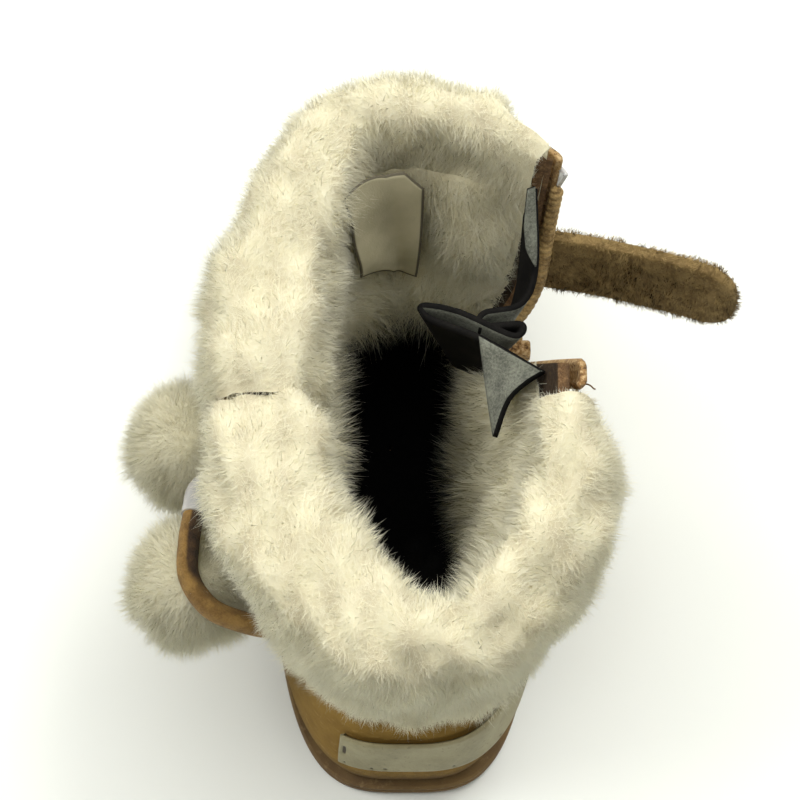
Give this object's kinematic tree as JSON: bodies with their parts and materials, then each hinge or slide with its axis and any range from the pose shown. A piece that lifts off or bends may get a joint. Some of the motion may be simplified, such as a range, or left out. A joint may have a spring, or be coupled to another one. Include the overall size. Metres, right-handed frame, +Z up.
{
  "type": "child's fur-lined winter boot",
  "caption": "Left ankle boot of tan nubuck on a thin flexible sole, with thick sheepskin cuffs, an open side slit with folded gusset and strap, and fur pompoms on a suede lace.",
  "frame": {"origin": "on the floor under the middle of the heel, on the outsole's plain heel pad", "axes": "+Z up, +Y towards the toe, +X towards the inner side of the left foot"},
  "size_m": [0.1257, 0.1783, 0.1145],
  "materials": {
    "sole_rubber": "matt reddish-brown rubber",
    "footbed": "black felt",
    "nubuck": "tan nubuck with a soft nap",
    "gusset_cloth": "black cloth, grey felt behind",
    "facing_leather": "tan suede, whip-stitched",
    "sheepskin": "cream wool pile",
    "loop_pile": "brown loop pile",
    "pale_strip": "smooth cream leather",
    "clear_tip": "clear glossy plastic",
    "suede_lace": "tan suede"
  },
  "bodies": {
    "root": {"outsole": "sole_rubber", "insole": "footbed", "upper": "nubuck", "lining": "sheepskin", "gusset": "gusset_cloth", "slit_facing": "facing_leather", "front_cuff": "sheepskin", "rear_cuff": "sheepskin", "closure_strap": "loop_pile", "heel_strip": "pale_strip", "corner_guard_front": "clear_tip", "corner_guard_rear": "clear_tip", "pompom_lace": "suede_lace", "pompom_rear": "sheepskin", "pompom_front": "sheepskin"}
  },
  "joints": []
}
